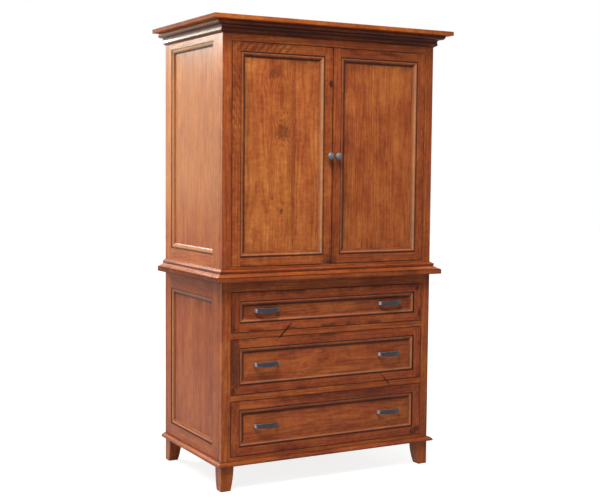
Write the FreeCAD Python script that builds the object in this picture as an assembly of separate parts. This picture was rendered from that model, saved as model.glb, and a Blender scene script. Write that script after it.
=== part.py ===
import FreeCAD, Part
import math
import os

# Computer armoire in stained cherry, built as two cases. The lower case is a chest of three inset
# drawers on tapered feet, the upper case is a cabinet with a pair of inset panel doors, a crown
# moulding and a square-edged top. Sizes are in millimetres. +X is the viewer's right, +Y the back and
# +Z up, and the origin lies on the floor under the middle of the overall box.

# Case
case_width = 1050.0
side_thickness = 21.0
side_stile_flat = 70.0
side_rail_flat = 76.0
side_edge_ease = 0.5
face_frame_thickness = 21.0
face_stile_width = 41.5
face_corner_ease = 2.0
dado_depth = 6.0
back_thickness = 8.0
back_rabbet = 10.0

# Frame-and-panel work: the moulded inner edge of every stile and rail, and the panel that it holds
sticking_width = 21.0
quirk_depth = 2.5
sticking_shelf = 8.0
sticking_shelf_fall = 0.6
sticking_land = 0.6
panel_setback = 10.5
panel_thickness = 6.5
panel_groove = 10.0
panel_play = 1.0

# Feet and base moulding
foot_height = 109.0
foot_top_size = 58.0
foot_bottom_size = 44.0
foot_corner_ease = 2.0
base_height = 18.0
base_projection = 20.5
base_nose = 5.0

# Chest openings and rails, from the bottom up
chest_bottom_rail = 33.0
chest_middle_rail = 25.0
chest_top_rail = 43.0
deep_opening = 239.0
shallow_opening = 173.0
chest_board_thickness = 18.0

# Chest top: a thick slab with a square lower edge, a fine step and a hollow slope above it
chest_top_thickness = 35.0
chest_top_overhang = 38.5
chest_top_edge = 20.0
chest_top_step = 2.5
chest_top_step_rise = 2.0
chest_top_shoulder = 13.0
chest_top_hollow = 1.2

# Upper case
upper_bottom_rail = 26.0
door_opening = 936.0
upper_top_rail = 80.0
deck_thickness = 20.0
top_board_thickness = 18.0
trim_height = 19.0
trim_projection = 14.5
trim_undercut = 2.5
trim_lip = 10.0
trim_round = 2.0
crown_height = 51.0
crown_projection = 38.3
crown_top_fillet = 6.0
crown_ovolo = 12.4
crown_cove = 9.0
crown_neck = 11.5
crown_neck_drop = 29.0
crown_bead = 2.0
crown_bead_drop = 40.0
crown_bead_round = 4.0
top_slab_thickness = 18.0
top_overhang = 65.0
slab_edge_ease = 1.5

# Shelf and its pins
shelf_rise = 560.0
shelf_thickness = 20.0
shelf_setback = 25.0
shelf_play = 2.0
shelf_pin_radius = 2.5
shelf_pin_seat = 0.05
shelf_pin_bite = 10.0
shelf_pin_reach = 10.0
shelf_pin_inset = 20.0

# Cable holes through the upper back
cable_hole_radius = 32.0
cable_hole_from_side = 184.0
cable_hole_rise = 75.0

# Doors
door_thickness = 21.0
door_gap = 2.0
meeting_gap = 2.0
door_stile_flat = 41.0
door_rail_flat = 40.0
door_edge_ease = 1.2

# Knife hinges: a leaf let into the end of the door, and a leaf with a pin let into the face frame
hinge_inset = 7.0
hinge_setback = 5.0
hinge_leaf_width = 8.0
hinge_leaf_length = 32.0
hinge_leaf_thickness = 2.5
hinge_leaf_air = 0.4
hinge_pin_radius = 2.0
hinge_pin_clearance = 0.05

# Magnetic catch and the strike plates of the doors
catch_width = 80.0
catch_depth = 16.0
catch_drop = 20.0
catch_grip = 22.0
catch_air = 0.6
strike_width = 28.0
strike_height = 14.0
strike_thickness = 1.5
strike_inset = 4.0

# Knobs
knob_inset = 19.0
knob_radius = 16.0
knob_projection = 33.0
knob_base_radius = 8.5
knob_base_height = 2.5
knob_neck_radius = 6.0
knob_neck_height = 13.0
knob_rim_height = 23.0
knob_screw_bite = 12.0

# Drawers
drawer_gap = 2.0
drawer_front_thickness = 21.0
drawer_stile_flat = 41.0
drawer_rail_flat = 39.0
drawer_edge_ease = 1.2
box_wall = 12.0
box_lift = 12.0
box_headroom = 25.0
box_bottom_thickness = 6.0
box_bottom_lift = 10.0
box_bottom_groove = 6.0

# Drawer slides: three nested channels, one on the case, one between and one on the drawer
slide_length = 508.0
slide_thickness = 12.7
slide_height = 45.0
slide_wall = 1.2
slide_play = 0.4
slide_case_lip = 9.0
slide_middle_lip = 10.5
slide_lift = 45.0
slide_back_room = 79.0
packer_height = 60.0

# Arched bar pulls
pull_length = 118.0
pull_height = 20.5
pull_projection = 32.0
pull_bow = 16.0
pull_bar = 6.0
pull_foot = 9.0
pull_bend = 7.0
pull_bend_rise = 13.2
pull_hollow_bend = 3.5
pull_from_side = 172.5
pull_rise = 4.0
pull_screw_bite = 6.0

# Screws of the knobs and pulls
screw_radius = 2.0
screw_hole_clearance = 0.25
screw_seat = 0.05
screw_tip_room = 1.0
screw_head_radius = 4.2
screw_head_height = 2.6

# Planes and levels that the pieces share
half_width = case_width / 2
case_depth = drawer_front_thickness + slide_length + slide_back_room + back_thickness
front_y = (top_overhang - case_depth) / 2
back_y = front_y + case_depth
face_back_y = front_y + face_frame_thickness
back_panel_y = back_y - back_thickness
inner_half = half_width - side_thickness
opening_half = half_width - face_stile_width
chest_floor_z = foot_height + chest_bottom_rail
drawer_openings = []
level = chest_floor_z
for drawer_name, opening in (("bottom", deep_opening), ("middle", deep_opening), ("top", shallow_opening)):
    drawer_openings.append((drawer_name, level, opening))
    level += opening + chest_middle_rail
chest_case_top = level - chest_middle_rail + chest_top_rail
upper_base_z = chest_case_top + chest_top_thickness
deck_z = upper_base_z + upper_bottom_rail
door_head_z = deck_z + door_opening
upper_case_top = door_head_z + upper_top_rail
top_z = upper_case_top + top_slab_thickness


def point(x, y, z):
    return FreeCAD.Vector(x, y, z)


def block(x0, x1, y0, y1, z0, z1):
    """Square-edged board between two x, two y and two z values."""
    return Part.makeBox(x1 - x0, y1 - y0, z1 - z0, point(x0, y0, z0))


def rod(radius, start, end):
    """Round bar from one point to another."""
    return Part.makeCylinder(radius, (end - start).Length, start, end - start)


def level_arc(a, b):
    """Arc from a to b that sets off along the first axis: a point on the way, and its end."""
    across = b[0] - a[0]
    along = b[1] - a[1]
    half_turn = math.atan2(abs(along), abs(across))
    radius = (across ** 2 + along ** 2) / (2 * abs(along))
    through = (a[0] + math.copysign(radius * math.sin(half_turn), across),
               a[1] + math.copysign(radius * (1 - math.cos(half_turn)), along))
    return through, b


def upright_arc(a, b):
    """Arc from a to b that sets off along the second axis."""
    through, end = level_arc(a[::-1], b[::-1])
    return through[::-1], end[::-1]


def arc_to_level(a, b):
    """Arc from a to b that arrives along the first axis."""
    return level_arc(b, a)[0], b


def arc_to_upright(a, b):
    """Arc from a to b that arrives along the second axis."""
    return upright_arc(b, a)[0], b


def outline_face(steps, place):
    """Flat face inside a closed outline. A step is a corner, or an arc as a point on the way and its end."""
    edges = []
    here = steps[0]
    for step in steps[1:] + steps[:1]:
        if isinstance(step[0], tuple):
            through, end = step
            edges.append(Part.Arc(place(*here), place(*through), place(*end)).toShape())
        else:
            end = step
            edges.append(Part.makeLine(place(*here), place(*end)))
        here = end
    return Part.Face(Part.Wire(edges))


def carved(solid, tools):
    """The solid with every tool's room cut out of it."""
    for tool in tools:
        solid = solid.cut(tool)
    return solid.Solids[0]


def save(node, solids):
    """Write one node, made of one or more separate solids."""
    shape = solids[0] if len(solids) == 1 else Part.makeCompound(solids)
    shape.exportStep("parts/" + node + ".step")


def mirrored(solid):
    """The same piece on the other side of the case."""
    return solid.mirror(point(0, 0, 0), point(1, 0, 0))


def member_outline(flat, thickness, ease):
    """Section of a stile or rail: across from its outer edge to the panel, by depth behind its face."""
    inner = flat + sticking_width
    quirk = (flat, quirk_depth)
    shelf = (flat + sticking_shelf, quirk_depth + sticking_shelf_fall)
    ovolo = level_arc(shelf, (inner, panel_setback - sticking_land))
    groove_back = panel_setback + panel_thickness
    groove_floor = inner - panel_groove
    return [(0, thickness), (0, ease), upright_arc((0, ease), (ease, 0)), (flat, 0), quirk, shelf, ovolo,
            (inner, panel_setback), (groove_floor, panel_setback), (groove_floor, groove_back),
            (inner, groove_back), (inner, thickness)]


def frame_and_panel(width, height, thickness, stile_flat, rail_flat, ease):
    """Two stiles, two rails coped over them and a loose panel. The face is at y 0, the low corner at 0."""
    stile = member_outline(stile_flat, thickness, ease)
    rail = member_outline(rail_flat, thickness, ease)
    rise = point(0, 0, height)
    run = point(width - 2 * stile_flat, 0, 0)
    left = outline_face(stile, lambda u, d: point(u, d, 0)).extrude(rise)
    right = outline_face(stile, lambda u, d: point(width - u, d, 0)).extrude(rise)
    low = outline_face(rail, lambda u, d: point(stile_flat, d, u)).extrude(run)
    high = outline_face(rail, lambda u, d: point(stile_flat, d, height - u)).extrude(run)
    members = [left, right, carved(low, [left, right]), carved(high, [left, right])]
    edge = stile_flat + sticking_width - panel_groove + panel_play
    foot_edge = rail_flat + sticking_width - panel_groove + panel_play
    panel = block(edge, width - edge, panel_setback, panel_setback + panel_thickness,
                  foot_edge, height - foot_edge)
    return members, panel


def moved(solids, x, y, z, turn=0):
    """Turn the solids about the upright axis through 0, then carry them to their place."""
    for solid in solids:
        solid.rotate(point(0, 0, 0), point(0, 0, 1), turn)
        solid.translate(point(x, y, z))


def mitred_moulding(outline, z):
    """Front, left and right lengths of a moulding, mitred at the front corners and square at the back.
    The outline goes out from the case and up from the height z."""
    reach = 2 * max(step[-1][0] if isinstance(step[0], tuple) else step[0] for step in outline)
    front = outline_face(outline, lambda out, up: point(-half_width - reach, front_y - out, z + up))
    front = front.extrude(point(case_width + 2 * reach, 0, 0))
    side = outline_face(outline, lambda out, up: point(half_width + out, front_y - reach, z + up))
    side = side.extrude(point(0, case_depth + reach, 0))
    front_corners = [(-half_width, front_y), (half_width, front_y),
                     (half_width + reach, front_y - reach), (-half_width - reach, front_y - reach)]
    side_corners = [(half_width, front_y), (half_width + reach, front_y - reach),
                    (half_width + reach, back_y), (half_width, back_y)]
    rise = point(0, 0, top_z)
    front_room = outline_face(front_corners, lambda x, y: point(x, y, 0)).extrude(rise)
    side_room = outline_face(side_corners, lambda x, y: point(x, y, 0)).extrude(rise)
    right = side.common(side_room).Solids[0]
    return [front.common(front_room).Solids[0], mirrored(right), right]


def face_stiles(z0, z1):
    """Left and right uprights of a face frame, each with its outer corner eased."""
    ease = face_corner_ease
    corner = [(0, face_frame_thickness), (0, ease), upright_arc((0, ease), (ease, 0)),
              (face_stile_width, 0), (face_stile_width, face_frame_thickness)]
    left = outline_face(corner, lambda u, d: point(u - half_width, front_y + d, z0))
    left = left.extrude(point(0, 0, z1 - z0))
    return [left, mirrored(left)]


def face_rail(z0, z1):
    """Level member of a face frame, between the uprights."""
    return block(-opening_half, opening_half, front_y, face_back_y, z0, z1)


def side_assembly(z0, z1, boards, holes):
    """Left and right frame-and-panel sides of a case, trenched for the boards that they hold."""
    width = case_depth - face_frame_thickness
    frames = []
    panels = []
    for x, y, turn in ((-half_width, back_y, -90), (half_width, face_back_y, 90)):
        members, panel = frame_and_panel(width, z1 - z0, side_thickness, side_stile_flat, side_rail_flat,
                                         side_edge_ease)
        moved(members + [panel], x, y, z0, turn)
        frames.append([carved(member, boards + holes) for member in members])
        panels.append(panel)
    return frames, panels


def case_board(z0, z1):
    """Level board across a case, let into both sides."""
    half = inner_half + dado_depth
    return block(-half, half, face_back_y, back_panel_y, z0, z1)


def back_board(z0, z1):
    """Back panel in the rabbets of the sides."""
    half = inner_half + back_rabbet
    return block(-half, half, back_panel_y, back_y, z0, z1)


def foot():
    """Front left foot: two plumb outer faces, two inner faces that curve in towards the floor."""
    top = (foot_top_size, foot_height)
    toe = (foot_bottom_size, 0)
    outline = [(0, 0), toe, arc_to_upright(toe, top), (0, foot_height)]
    across = outline_face(outline, lambda u, z: point(u, 0, z)).extrude(point(0, foot_top_size, 0))
    along = outline_face(outline, lambda u, z: point(0, u, z)).extrude(point(foot_top_size, 0, 0))
    body = across.common(along).Solids[0]
    corner = [edge for edge in body.Edges
              if all(max(abs(vertex.X), abs(vertex.Y)) < foot_corner_ease for vertex in edge.Vertexes)]
    return body.makeFillet(foot_corner_ease, corner).Solids[0]


def feet():
    """Four feet, flush with the corners of the case."""
    front = foot()
    front.translate(point(-half_width, front_y, 0))
    back = foot().mirror(point(0, 0, 0), point(0, 1, 0))
    back.translate(point(-half_width, back_y, 0))
    return [front, mirrored(front), back, mirrored(back)]


def moulded_chest_top():
    """Slab whose front and side edges rise from a square lower edge through a step to a hollow slope."""
    over = chest_top_overhang
    x = half_width + over
    slab = block(-x, x, front_y - over, back_y, chest_case_top, upper_base_z)
    inner = over - chest_top_step
    start = (inner, chest_top_edge + chest_top_step_rise)
    shoulder = (chest_top_shoulder, chest_top_thickness)
    middle = ((start[0] + shoulder[0]) / 2 - chest_top_hollow / 2,
              (start[1] + shoulder[1]) / 2 - chest_top_hollow)
    clear = 2 * over
    waste = [(clear, chest_top_edge), (inner, chest_top_edge), start, (middle, shoulder),
             (chest_top_shoulder, clear + chest_top_thickness), (clear, clear + chest_top_thickness)]
    front = outline_face(waste, lambda out, up: point(-2 * x, front_y - out, chest_case_top + up))
    front = front.extrude(point(4 * x, 0, 0))
    right = outline_face(waste, lambda out, up: point(half_width + out, front_y - clear, chest_case_top + up))
    right = right.extrude(point(0, case_depth + 2 * clear, 0))
    return carved(slab, [front, right, mirrored(right)])


def crown_outline():
    """Crown section: top fillet, ovolo, cove into a neck, and a bead that slopes back to the case."""
    top = crown_height
    ovolo_start = (crown_projection, top - crown_top_fillet)
    ovolo_end = (crown_projection - crown_ovolo, ovolo_start[1] - crown_ovolo)
    cove_start = (crown_neck + crown_cove, ovolo_end[1])
    neck = (crown_neck, top - crown_neck_drop)
    bead = (crown_neck + crown_bead, top - crown_bead_drop)
    bead_end = (crown_neck, bead[1] - crown_bead_round)
    return [(0, top), (crown_projection, top), ovolo_start, upright_arc(ovolo_start, ovolo_end),
            cove_start, arc_to_upright(cove_start, neck), bead, upright_arc(bead, bead_end), (0, 0)]


def trim_outline():
    """Small moulding at the foot of the upper case: an undercut face, a lip and a bevelled top."""
    lip = (trim_projection, trim_lip)
    lip_top = (trim_projection - trim_round, trim_lip + trim_round)
    return [(0, 0), (trim_projection - trim_undercut, 0), lip, upright_arc(lip, lip_top), (0, trim_height)]


def base_outline():
    """Base moulding: a square toe and a rounded top."""
    toe = (base_projection, base_nose)
    return [(0, 0), (base_projection, 0), toe, arc_to_level(toe, (0, base_height))]


def hinge_leaf(x, y, z):
    """Leaf of a left door's hinge: round about the pin, and reaching along x towards the other door."""
    half = hinge_leaf_width / 2
    steps = [(hinge_leaf_length, -half), (hinge_leaf_length, half), (0, half), ((-half, 0), (0, -half))]
    leaf = outline_face(steps, lambda u, w: point(x + u, y + w, z))
    return leaf.extrude(point(0, 0, hinge_leaf_thickness))


def screw_hole(x, z, y0, y1):
    """Room for a screw to pass through a board."""
    return rod(screw_radius + screw_hole_clearance, point(x, y0, z), point(x, y1, z))


def screw_bore(x, z, face_y, bite):
    """Threaded bore that runs forward from the back of a knob or pull."""
    return rod(screw_radius + screw_seat, point(x, face_y, z), point(x, face_y - bite - screw_tip_room, z))


def machine_screw(x, z, tip_y, seat_y):
    """Screw from a tip in the knob or pull back to a head seated on the inside of the front."""
    shank = rod(screw_radius, point(x, tip_y, z), point(x, seat_y, z))
    head = rod(screw_head_radius, point(x, seat_y, z), point(x, seat_y + screw_head_height, z))
    return shank.fuse(head).removeSplitter().Solids[0]


def knob(x, z):
    """Mushroom knob, turned about an axis that points out of the door."""
    base = (knob_base_radius, knob_base_height)
    neck = (knob_neck_radius, knob_neck_height)
    rim = (knob_radius, knob_rim_height)
    section = [(0, 0), (knob_base_radius, 0), base, arc_to_upright(base, neck), arc_to_level(neck, rim),
               arc_to_level(rim, (0, knob_projection))]
    face = outline_face(section, lambda r, out: point(x + r, front_y - out, z))
    turned = face.revolve(point(x, front_y, z), point(0, 1, 0), 360)
    return carved(turned, [screw_bore(x, z, front_y, knob_screw_bite)])


def pull_feet(x):
    """The middles of a pull's two feet."""
    spread = (pull_length - pull_foot) / 2
    return [x - spread, x + spread]


def bar_pull(x, face_y, z):
    """Arched pull: a bar that bows out between two bends, each of which ends in a thicker foot."""
    end = pull_length / 2
    foot = end - pull_foot
    shoulder = pull_projection - pull_bow
    spring = shoulder - pull_bend_rise
    under = shoulder - pull_bar
    bend_end = end - pull_bend
    hollow_end = foot - pull_hollow_bend
    outline = [(-end, 0), (-end, spring), upright_arc((-end, spring), (-bend_end, shoulder)),
               ((0, pull_projection), (bend_end, shoulder)),
               arc_to_upright((bend_end, shoulder), (end, spring)), (end, 0),
               (foot, 0), (foot, spring), upright_arc((foot, spring), (hollow_end, under)),
               ((0, pull_projection - pull_bar), (-hollow_end, under)),
               arc_to_upright((-hollow_end, under), (-foot, spring)), (-foot, 0)]
    bar = outline_face(outline, lambda u, out: point(x + u, face_y - out, z - pull_height / 2))
    bar = bar.extrude(point(0, 0, pull_height))
    return carved(bar, [screw_bore(at, z, face_y, pull_screw_bite) for at in pull_feet(x)])


def slide_channel(web_back, lip, half):
    """Section of a slide member: an upright web, and two flanges from the web to the lip."""
    web_front = web_back + math.copysign(slide_wall, lip - web_back)
    inner = half - slide_wall
    return [(web_back, -half), (lip, -half), (lip, -inner), (web_front, -inner),
            (web_front, inner), (lip, inner), (lip, half), (web_back, half)]


def slide_pair(section, y, z):
    """A slide member on each side of a drawer. The section goes inwards from the packer."""
    face = outline_face(section, lambda inwards, up: point(opening_half - inwards, y, z + up))
    right = face.extrude(point(0, slide_length, 0))
    return [mirrored(right), right]


os.makedirs("parts", exist_ok=True)

# Chest carcass: panelled sides, a floor board, a back, and a face frame with a rail over each drawer
chest_floor = case_board(chest_floor_z - chest_board_thickness, chest_floor_z)
chest_back = back_board(foot_height, chest_case_top)
chest_frames, chest_panels = side_assembly(foot_height, chest_case_top, [chest_floor, chest_back], [])
chest_rails = [face_rail(foot_height, chest_floor_z)]
for drawer_name, floor_z, opening in drawer_openings:
    rail_height = chest_top_rail if drawer_name == "top" else chest_middle_rail
    chest_rails.append(face_rail(floor_z + opening, floor_z + opening + rail_height))
save("chest_left_side_frame", chest_frames[0])
save("chest_right_side_frame", chest_frames[1])
save("chest_side_panels", chest_panels)
save("chest_floor", [chest_floor])
save("chest_back", [chest_back])
save("chest_face_frame", face_stiles(foot_height, chest_case_top) + chest_rails)
save("chest_top", [moulded_chest_top()])
save("base_moulding", mitred_moulding(base_outline(), foot_height))
save("feet", feet())

# Shelf on four pins, let into the stiles of the upper sides
shelf_z = deck_z + shelf_rise
shelf_half = inner_half - shelf_play
shelf_front_y = face_back_y + shelf_setback
shelf_back_y = back_panel_y - shelf_play
shelf_pins = []
shelf_pin_holes = []
for pin_y in (shelf_front_y + shelf_pin_inset, shelf_back_y - shelf_pin_inset):
    pin_z = shelf_z - shelf_pin_radius
    pin_tip = point(inner_half - shelf_pin_reach, pin_y, pin_z)
    pin_end = point(inner_half + shelf_pin_bite, pin_y, pin_z)
    pin = rod(shelf_pin_radius, pin_tip, pin_end)
    pin_hole = rod(shelf_pin_radius + shelf_pin_seat, pin_tip, pin_end)
    shelf_pins += [mirrored(pin), pin]
    shelf_pin_holes += [mirrored(pin_hole), pin_hole]
shelf = block(-shelf_half, shelf_half, shelf_front_y, shelf_back_y, shelf_z, shelf_z + shelf_thickness)
save("shelf", [shelf])
save("shelf_pins", shelf_pins)

# Upper carcass: panelled sides, a deck, a top board and a back with two cable holes
deck = case_board(deck_z - deck_thickness, deck_z)
top_board = case_board(upper_case_top - top_board_thickness, upper_case_top)
upper_back = back_board(upper_base_z, upper_case_top)
upper_frames, upper_panels = side_assembly(upper_base_z, upper_case_top, [deck, top_board, upper_back],
                                           shelf_pin_holes)
cable_hole_x = inner_half - cable_hole_from_side
cable_hole_z = deck_z + cable_hole_rise
cable_hole = rod(cable_hole_radius, point(cable_hole_x, back_panel_y, cable_hole_z),
                 point(cable_hole_x, back_y, cable_hole_z))
save("upper_left_side_frame", upper_frames[0])
save("upper_right_side_frame", upper_frames[1])
save("upper_side_panels", upper_panels)
save("upper_deck", [deck])
save("upper_top_board", [top_board])
save("upper_back", [carved(upper_back, [cable_hole, mirrored(cable_hole)])])
save("waist_trim", mitred_moulding(trim_outline(), upper_base_z))
save("crown_moulding", mitred_moulding(crown_outline(), upper_case_top - crown_height))
slab_half = half_width + top_overhang
top_slab = block(-slab_half, slab_half, front_y - top_overhang, back_y, upper_case_top, top_z)
save("top_slab", [top_slab.makeFillet(slab_edge_ease, top_slab.Edges)])

# Knife hinges of the left door, at the head and at the sill. The right door's are their mirror image
hinge_x = door_gap + hinge_inset - opening_half
hinge_y = front_y + hinge_setback
leaf_stand = (door_gap - hinge_leaf_air) / 2
leaf_sunk = hinge_leaf_thickness - leaf_stand
door_leaf_blanks = [hinge_leaf(hinge_x, hinge_y, door_head_z - door_gap - leaf_sunk),
                    hinge_leaf(hinge_x, hinge_y, deck_z + door_gap - leaf_stand)]
frame_leaf_blanks = [hinge_leaf(hinge_x, hinge_y, door_head_z - leaf_stand),
                     hinge_leaf(hinge_x, hinge_y, deck_z - leaf_sunk)]
pin_reach = hinge_leaf_thickness
head_pin = rod(hinge_pin_radius, point(hinge_x, hinge_y, door_head_z - leaf_stand - pin_reach),
               point(hinge_x, hinge_y, door_head_z))
sill_pin = rod(hinge_pin_radius, point(hinge_x, hinge_y, deck_z),
               point(hinge_x, hinge_y, deck_z + leaf_stand + pin_reach))
pin_room = rod(hinge_pin_radius + hinge_pin_clearance, point(hinge_x, hinge_y, 0),
               point(hinge_x, hinge_y, top_z))
door_leaves = [carved(blank, [pin_room]) for blank in door_leaf_blanks]
frame_leaves = [blank.fuse(pin).removeSplitter().Solids[0]
                for blank, pin in zip(frame_leaf_blanks, (head_pin, sill_pin))]
save("hinge_frame_leaves", frame_leaves + [mirrored(leaf) for leaf in frame_leaves])
frame_mortises = frame_leaf_blanks + [mirrored(blank) for blank in frame_leaf_blanks]
upper_rails = [face_rail(upper_base_z, deck_z), face_rail(door_head_z, upper_case_top)]
save("upper_face_frame", face_stiles(upper_base_z, upper_case_top)
     + [carved(rail, frame_mortises) for rail in upper_rails])

# Doors: frame and panel, with a knob on the meeting stile and a strike plate behind its top
door_back_y = front_y + door_thickness
door_width = opening_half - door_gap - meeting_gap / 2
door_height = door_opening - 2 * door_gap
door_members, door_panel = frame_and_panel(door_width, door_height, door_thickness, door_stile_flat,
                                           door_rail_flat, door_edge_ease)
moved(door_members + [door_panel], door_gap - opening_half, front_y, deck_z + door_gap)
knob_x = -meeting_gap / 2 - knob_inset
knob_z = deck_z + door_opening / 2
door_cuts = door_leaf_blanks + [screw_hole(knob_x, knob_z, front_y, door_back_y)]
strike_x = -meeting_gap / 2 - strike_inset
strike_top = door_head_z - door_gap - strike_inset
door_pieces = {
    "door_frame": [carved(member, door_cuts) for member in door_members],
    "door_panel": [door_panel],
    "door_hinge_leaves": door_leaves,
    "door_knob": [knob(knob_x, knob_z),
                  machine_screw(knob_x, knob_z, front_y - knob_screw_bite, door_back_y)],
    "door_strike": [block(strike_x - strike_width, strike_x, door_back_y, door_back_y + strike_thickness,
                          strike_top - strike_height, strike_top)],
}
for piece_name, solids in door_pieces.items():
    save("left_" + piece_name, solids)
    save("right_" + piece_name, [mirrored(solid) for solid in solids])

# Magnetic catch: a holder behind the head rail, and a magnet that hangs from it behind both strike plates
catch_half = catch_width / 2
catch_back_y = face_back_y + catch_depth
catch_holder = block(-catch_half, catch_half, face_back_y, catch_back_y, door_head_z,
                     door_head_z + catch_grip)
catch_magnet = block(-catch_half, catch_half, door_back_y + strike_thickness + catch_air, catch_back_y,
                     door_head_z - catch_drop, door_head_z)
save("door_catch", [catch_holder, catch_magnet])

# Drawers: a frame-and-panel front on a box, carried by a pair of slides. The case member of a slide
# is fixed to a packer that brings it in line with the face frame
box_half = opening_half - slide_thickness
box_front_y = front_y + drawer_front_thickness
box_back_y = box_front_y + slide_length
box_inner_half = box_half - box_wall
nest = slide_wall + slide_play
slide_half = slide_height / 2
case_section = slide_channel(0, slide_case_lip, slide_half)
middle_section = slide_channel(nest, slide_middle_lip, slide_half - nest)
drawer_section = slide_channel(slide_thickness, 2 * nest, slide_half - 2 * nest)
pull_x = opening_half - pull_from_side
pull_y = front_y + panel_setback
packers = []
case_members = []
for drawer_name, floor_z, opening in drawer_openings:
    front_members, front_panel = frame_and_panel(2 * (opening_half - drawer_gap), opening - 2 * drawer_gap,
                                                 drawer_front_thickness, drawer_stile_flat,
                                                 drawer_rail_flat, drawer_edge_ease)
    moved(front_members + [front_panel], drawer_gap - opening_half, front_y, floor_z + drawer_gap)
    pull_z = floor_z + opening / 2 + pull_rise
    screw_places = pull_feet(-pull_x) + pull_feet(pull_x)
    screw_seat_y = box_front_y + box_wall
    screw_holes = [screw_hole(x, pull_z, pull_y, screw_seat_y) for x in screw_places]

    z0 = floor_z + box_lift
    z1 = floor_z + opening - box_headroom
    bottom_half = box_inner_half + box_bottom_groove
    bottom_z = z0 + box_bottom_lift
    bottom = block(-bottom_half, bottom_half, screw_seat_y - box_bottom_groove,
                   box_back_y - box_wall + box_bottom_groove, bottom_z, bottom_z + box_bottom_thickness)
    boards = [block(-box_half, -box_inner_half, box_front_y, box_back_y, z0, z1),
              block(box_inner_half, box_half, box_front_y, box_back_y, z0, z1),
              block(-box_inner_half, box_inner_half, box_front_y, screw_seat_y, z0, z1),
              block(-box_inner_half, box_inner_half, box_back_y - box_wall, box_back_y, z0, z1)]

    slide_z = floor_z + slide_lift
    packer = block(opening_half, inner_half, face_back_y, back_panel_y,
                   slide_z - packer_height / 2, slide_z + packer_height / 2)
    packers += [mirrored(packer), packer]
    case_members += slide_pair(case_section, box_front_y, slide_z)

    drawer = drawer_name + "_drawer_"
    save(drawer + "front_frame", front_members)
    save(drawer + "front_panel", [carved(front_panel, screw_holes)])
    save(drawer + "box", [carved(board, [bottom] + screw_holes) for board in boards])
    save(drawer + "bottom", [bottom])
    save(drawer + "pulls", [bar_pull(x, pull_y, pull_z) for x in (-pull_x, pull_x)])
    save(drawer + "pull_screws", [machine_screw(x, pull_z, pull_y - pull_screw_bite, screw_seat_y)
                                  for x in screw_places])
    save(drawer + "slide_members", slide_pair(drawer_section, box_front_y, slide_z))
    save(drawer_name + "_slide_middle_members", slide_pair(middle_section, box_front_y, slide_z))
save("slide_packers", packers)
save("slide_case_members", case_members)
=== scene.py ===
import math

import bpy
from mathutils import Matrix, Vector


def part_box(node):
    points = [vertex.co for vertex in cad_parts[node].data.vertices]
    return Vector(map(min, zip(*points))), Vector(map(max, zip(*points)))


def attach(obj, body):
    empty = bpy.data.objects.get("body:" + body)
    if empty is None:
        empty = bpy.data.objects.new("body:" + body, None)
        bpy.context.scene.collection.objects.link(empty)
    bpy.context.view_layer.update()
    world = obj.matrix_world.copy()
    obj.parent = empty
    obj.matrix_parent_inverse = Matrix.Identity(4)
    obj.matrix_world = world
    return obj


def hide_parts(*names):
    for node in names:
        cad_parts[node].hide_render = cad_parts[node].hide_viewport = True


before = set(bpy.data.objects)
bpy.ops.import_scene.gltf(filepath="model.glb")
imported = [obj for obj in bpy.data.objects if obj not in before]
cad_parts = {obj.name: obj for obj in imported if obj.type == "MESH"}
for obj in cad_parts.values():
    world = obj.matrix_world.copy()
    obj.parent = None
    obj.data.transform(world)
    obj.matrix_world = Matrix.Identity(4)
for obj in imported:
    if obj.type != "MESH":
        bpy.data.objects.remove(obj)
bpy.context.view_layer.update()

# Chest sides: each is a frame of two stiles and two rails in cherry, coped and glued round a flat
# panel that floats in its groove. The finish is a brown stain, a dark glaze that stays in the
# quirks, and satin lacquer, with painted shade in the panel's corner and a painted highlight along
# its moulded edge.


def stain(red, green, blue):
    """A colour written as it looks, 0 to 255, in the shader's own scale."""
    parts = [part / 255 for part in (red, green, blue)]
    return tuple(part / 12.92 if part <= 0.04045 else ((part + 0.055) / 1.055) ** 2.4
                 for part in parts) + (1.0,)


def feed(tree, socket, value):
    """Joins a socket to another node, or gives it a plain value."""
    if isinstance(value, bpy.types.NodeSocket):
        tree.links.new(value, socket)
    elif value is not None:
        socket.default_value = value


def wire(tree, kind, *values, out=0, **settings):
    """Places a shader node, feeds its inputs in order, and returns one of its outputs."""
    made = tree.nodes.new("ShaderNode" + kind)
    for setting, value in settings.items():
        setattr(made, setting, value)
    for socket, value in zip(made.inputs, values):
        feed(tree, socket, value)
    return made.outputs[out]


def calc(tree, operation, *values, clamp=False):
    """One sum on values that change over the surface."""
    return wire(tree, "Math", *values, operation=operation, use_clamp=clamp)


def plus(tree, first, second):
    return calc(tree, "ADD", first, second)


def minus(tree, first, second):
    return calc(tree, "SUBTRACT", first, second)


def times(tree, first, second, clamp=False):
    return calc(tree, "MULTIPLY", first, second, clamp=clamp)


def scaled(tree, value, factor, base, clamp=False):
    """The value times a factor, on top of a base."""
    return calc(tree, "MULTIPLY_ADD", value, factor, base, clamp=clamp)


def size_of(tree, value):
    """The value without its sign."""
    return calc(tree, "ABSOLUTE", value)


def more(tree, first, second):
    """1 where the first value is greater than the second."""
    return calc(tree, "GREATER_THAN", first, second)


def most(tree, first, second):
    """The stronger of two masks; the first may be missing."""
    return second if first is None else calc(tree, "MAXIMUM", first, second)


def squares(tree, first, second):
    """The sum of two squares."""
    return plus(tree, times(tree, first, first), times(tree, second, second))


def wave(tree, value):
    """A swing between 0 and 1."""
    return scaled(tree, calc(tree, "SINE", value), 0.5, 0.5)


def lean(tree, value, strength, base):
    """Base plus a texture's swing about its middle."""
    return scaled(tree, minus(tree, value, 0.5), strength, base)


def band(tree, value, middle, half):
    """1 where a distance is at the middle, falling to 0 at half a width to either side."""
    return scaled(tree, size_of(tree, minus(tree, value, middle)), -1.0 / half, 1.0, clamp=True)


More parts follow.
